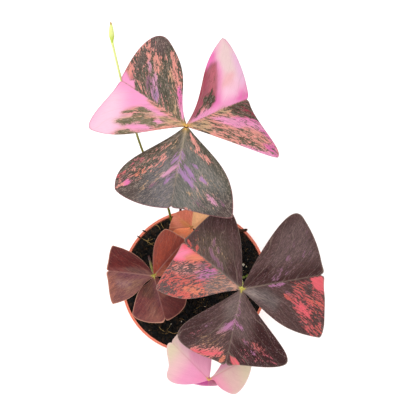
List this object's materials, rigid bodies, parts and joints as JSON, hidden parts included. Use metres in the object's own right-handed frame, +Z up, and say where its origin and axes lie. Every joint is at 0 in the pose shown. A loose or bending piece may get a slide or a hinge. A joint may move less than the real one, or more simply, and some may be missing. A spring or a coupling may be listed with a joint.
{
  "type": "purple shamrock",
  "caption": "Potted purple shamrock: three-part leaves of notched triangular leaflets splashed pink and maroon on thin stems, a closed flower bud on its stalk, compost and a tapered plastic pot",
  "frame": {"origin": "centre of the flat underside of the pot", "axes": "+Z up along the pot's axis, -Y towards the front of the plant, +X to its right"},
  "size_m": [0.116, 0.1687, 0.216],
  "materials": {
    "terracotta_plastic": "matt terracotta-coloured plastic",
    "compost": "dark moist compost",
    "rhizome": "scaly, pinkish brown",
    "leaf_pink_splashed": "satin leaf, dark purple splashed with pink and coral",
    "leaf_dark_purple": "satin leaf, dark purple flecked with coral",
    "leaf_maroon": "satin leaf, maroon",
    "leaf_orange": "satin young leaf, orange",
    "leaf_pink": "satin leaf, pink to cream",
    "stalk_green": "smooth yellow-green stalk"
  },
  "bodies": {
    "root": {"pot": "terracotta_plastic", "soil": "compost", "rhizome_back": "rhizome", "rhizome_middle": "rhizome", "rhizome_left": "rhizome", "leaf_tall": "leaf_pink_splashed", "leaf_right": "leaf_dark_purple", "leaf_left": "leaf_maroon", "leaf_young": "leaf_orange", "leaf_front": "leaf_pink", "flower_stalk": "stalk_green"}
  },
  "joints": []
}
